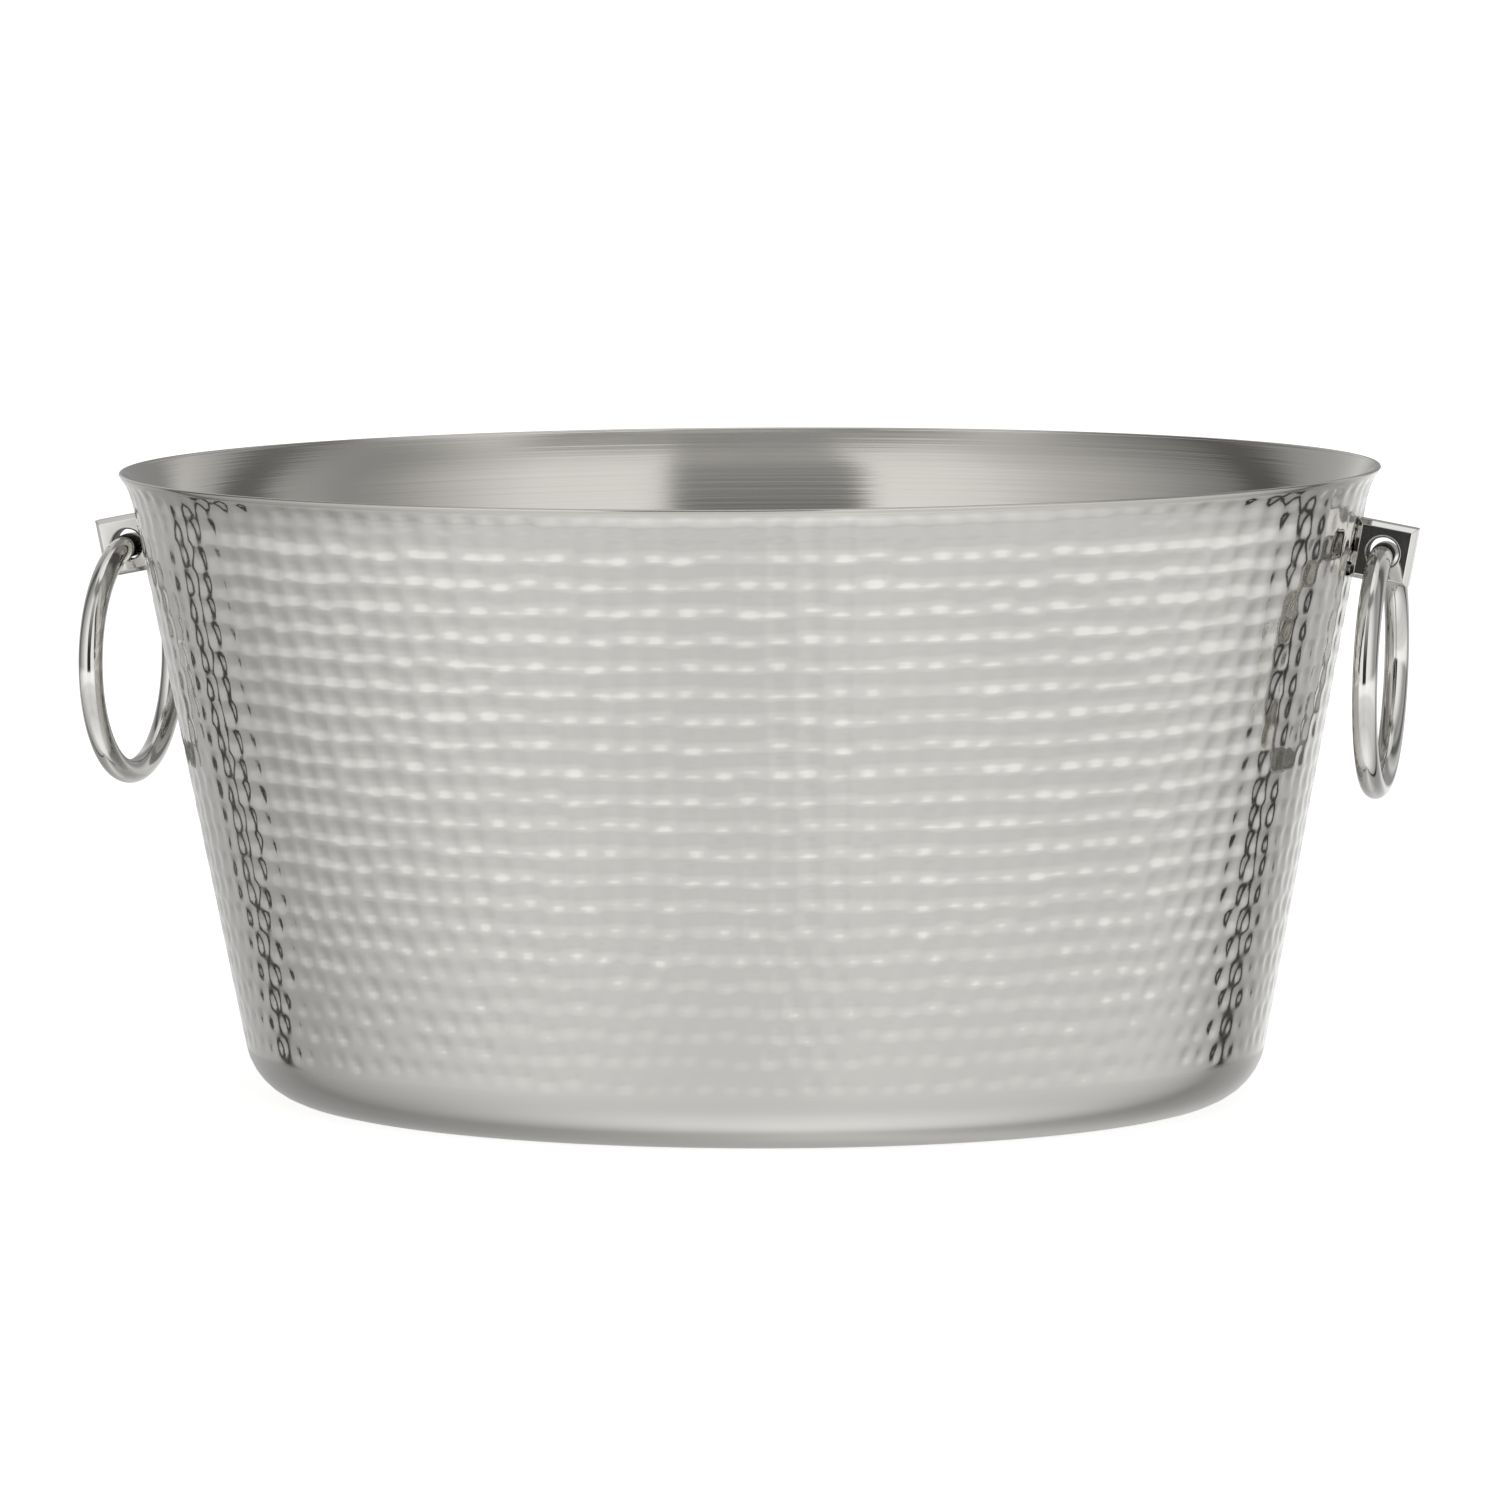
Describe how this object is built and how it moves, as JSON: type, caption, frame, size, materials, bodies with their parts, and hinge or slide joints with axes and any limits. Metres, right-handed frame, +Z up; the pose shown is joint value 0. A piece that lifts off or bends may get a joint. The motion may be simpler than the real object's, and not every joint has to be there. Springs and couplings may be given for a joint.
{
  "type": "drinks tub",
  "caption": "Oval double-walled metal drinks tub with a hammered shell, a smooth liner, a rolled rim, square chamfered lugs and loose ring handles that swing.",
  "frame": {"origin": "on the floor under the middle of the tub, at the bottom centre of the whole box", "axes": "+X along the tub's length, through the two lugs; +Y across the tub; +Z up"},
  "size_m": [0.4874, 0.381, 0.2286],
  "materials": {
    "hammered_steel": "bright hammered dimples in rows over a satin sheet",
    "brushed_liner_steel": "smooth, brushed round the tub",
    "polished_fittings": "polished, slightly worn",
    "plain_steel": "plain machine-made"
  },
  "bodies": {
    "tub": {"outer_shell": "hammered_steel", "inner_liner": "brushed_liner_steel", "right_lug": "polished_fittings", "left_lug": "polished_fittings", "right_backing_plate": "plain_steel", "right_upper_spring_washer": "plain_steel", "right_upper_lug_screw": "plain_steel", "right_lower_spring_washer": "plain_steel", "right_lower_lug_screw": "plain_steel", "left_backing_plate": "plain_steel", "left_upper_spring_washer": "plain_steel", "left_upper_lug_screw": "plain_steel", "left_lower_spring_washer": "plain_steel", "left_lower_lug_screw": "plain_steel"},
    "right_ring": {"right_ring_handle": "polished_fittings"},
    "left_ring": {"left_ring_handle": "polished_fittings"}
  },
  "joints": [
    {"name": "right_ring_swing", "type": "hinge", "parent": "tub", "child": "right_ring", "pos_m": [0.23123, 0, 0.19856], "axis": [0, -1, 0], "range_deg": [-12, 186.5]},
    {"name": "left_ring_swing", "type": "hinge", "parent": "tub", "child": "left_ring", "pos_m": [-0.23123, 0, 0.19856], "axis": [0.0924, 0.9957, 0], "range_deg": [-14, 178]}
  ]
}
